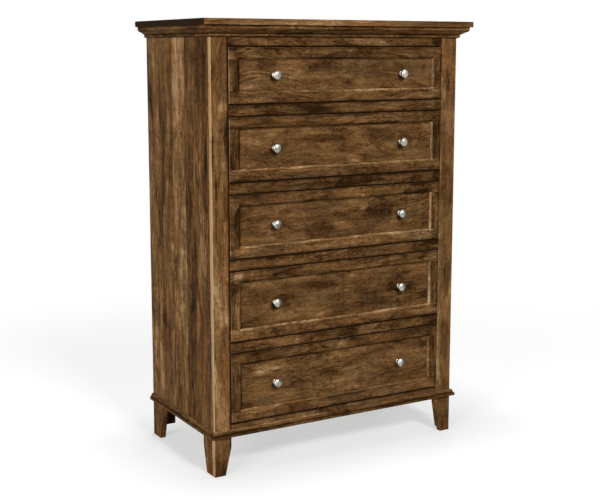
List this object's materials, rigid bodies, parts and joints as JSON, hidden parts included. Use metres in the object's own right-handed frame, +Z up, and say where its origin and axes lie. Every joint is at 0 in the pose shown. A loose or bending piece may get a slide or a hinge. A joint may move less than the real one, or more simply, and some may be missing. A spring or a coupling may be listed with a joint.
{
  "type": "chest of drawers",
  "caption": "Tall chest of drawers with mitred crown, inset framed drawer fronts, round knobs, base moulding and tapered feet; dovetailed drawers run on full-extension slides.",
  "frame": {"origin": "on the floor, in the middle of the footprint of the overhanging top", "axes": "+Z up, +X to the right seen from the front, the drawers open towards -Y"},
  "size_m": [1.016, 0.533, 1.448],
  "materials": {
    "stained_wood": "brown stain under satin lacquer",
    "inner_wood": "clear sealed",
    "drawer_wood": "clear satin lacquer",
    "drawer_plywood": "clear satin lacquer",
    "back_plywood": "thin brown stain",
    "satin_nickel": "satin nickel plate",
    "zinc_steel": "bright zinc plate"
  },
  "bodies": {
    "case": {"top_panel": "stained_wood", "crown_front": "stained_wood", "crown_returns": "stained_wood", "base_front": "stained_wood", "base_returns": "stained_wood", "side_left": "stained_wood", "side_right": "stained_wood", "stile_left": "stained_wood", "stile_right": "stained_wood", "top_rail": "stained_wood", "drawer_rails": "stained_wood", "bottom_rail": "stained_wood", "back_panel": "back_plywood", "back_rails": "inner_wood", "bottom_panel": "back_plywood", "front_foot_blocks": "stained_wood", "rear_foot_blocks": "stained_wood", "top_cleats": "inner_wood", "slide_spacers": "inner_wood", "slide_case_members": "zinc_steel"},
    "drawer_1": {"drawer_1_front_frame": "stained_wood", "drawer_1_front_panel": "stained_wood", "drawer_1_box_sides": "drawer_wood", "drawer_1_box_ends": "drawer_wood", "drawer_1_box_bottom": "drawer_plywood", "drawer_1_knobs": "satin_nickel", "drawer_1_slide_members": "zinc_steel"},
    "slide_middle_1": {"slide_1_middle": "zinc_steel"},
    "drawer_2": {"drawer_2_front_frame": "stained_wood", "drawer_2_front_panel": "stained_wood", "drawer_2_box_sides": "drawer_wood", "drawer_2_box_ends": "drawer_wood", "drawer_2_box_bottom": "drawer_plywood", "drawer_2_knobs": "satin_nickel", "drawer_2_slide_members": "zinc_steel"},
    "slide_middle_2": {"slide_2_middle": "zinc_steel"},
    "drawer_3": {"drawer_3_front_frame": "stained_wood", "drawer_3_front_panel": "stained_wood", "drawer_3_box_sides": "drawer_wood", "drawer_3_box_ends": "drawer_wood", "drawer_3_box_bottom": "drawer_plywood", "drawer_3_knobs": "satin_nickel", "drawer_3_slide_members": "zinc_steel"},
    "slide_middle_3": {"slide_3_middle": "zinc_steel"},
    "drawer_4": {"drawer_4_front_frame": "stained_wood", "drawer_4_front_panel": "stained_wood", "drawer_4_box_sides": "drawer_wood", "drawer_4_box_ends": "drawer_wood", "drawer_4_box_bottom": "drawer_plywood", "drawer_4_knobs": "satin_nickel", "drawer_4_slide_members": "zinc_steel"},
    "slide_middle_4": {"slide_4_middle": "zinc_steel"},
    "drawer_5": {"drawer_5_front_frame": "stained_wood", "drawer_5_front_panel": "stained_wood", "drawer_5_box_sides": "drawer_wood", "drawer_5_box_ends": "drawer_wood", "drawer_5_box_bottom": "drawer_plywood", "drawer_5_knobs": "satin_nickel", "drawer_5_slide_members": "zinc_steel"},
    "slide_middle_5": {"slide_5_middle": "zinc_steel"}
  },
  "joints": [
    {"name": "drawer_1_slide", "type": "slide", "parent": "case", "child": "drawer_1", "axis": [0, -1, 0], "range_m": [0, 0.457]},
    {"name": "slide_1_middle_slide", "type": "slide", "parent": "case", "child": "slide_middle_1", "axis": [0, -1, 0], "range_m": [0, 0.2285]},
    {"name": "drawer_2_slide", "type": "slide", "parent": "case", "child": "drawer_2", "axis": [0, -1, 0], "range_m": [0, 0.457]},
    {"name": "slide_2_middle_slide", "type": "slide", "parent": "case", "child": "slide_middle_2", "axis": [0, -1, 0], "range_m": [0, 0.2285]},
    {"name": "drawer_3_slide", "type": "slide", "parent": "case", "child": "drawer_3", "axis": [0, -1, 0], "range_m": [0, 0.457]},
    {"name": "slide_3_middle_slide", "type": "slide", "parent": "case", "child": "slide_middle_3", "axis": [0, -1, 0], "range_m": [0, 0.2285]},
    {"name": "drawer_4_slide", "type": "slide", "parent": "case", "child": "drawer_4", "axis": [0, -1, 0], "range_m": [0, 0.457]},
    {"name": "slide_4_middle_slide", "type": "slide", "parent": "case", "child": "slide_middle_4", "axis": [0, -1, 0], "range_m": [0, 0.2285]},
    {"name": "drawer_5_slide", "type": "slide", "parent": "case", "child": "drawer_5", "axis": [0, -1, 0], "range_m": [0, 0.457]},
    {"name": "slide_5_middle_slide", "type": "slide", "parent": "case", "child": "slide_middle_5", "axis": [0, -1, 0], "range_m": [0, 0.2285]}
  ],
  "couplings": [
    {"joint": "slide_1_middle_slide", "follows": "drawer_1_slide", "ratio": 0.5},
    {"joint": "slide_2_middle_slide", "follows": "drawer_2_slide", "ratio": 0.5},
    {"joint": "slide_3_middle_slide", "follows": "drawer_3_slide", "ratio": 0.5},
    {"joint": "slide_4_middle_slide", "follows": "drawer_4_slide", "ratio": 0.5},
    {"joint": "slide_5_middle_slide", "follows": "drawer_5_slide", "ratio": 0.5}
  ]
}
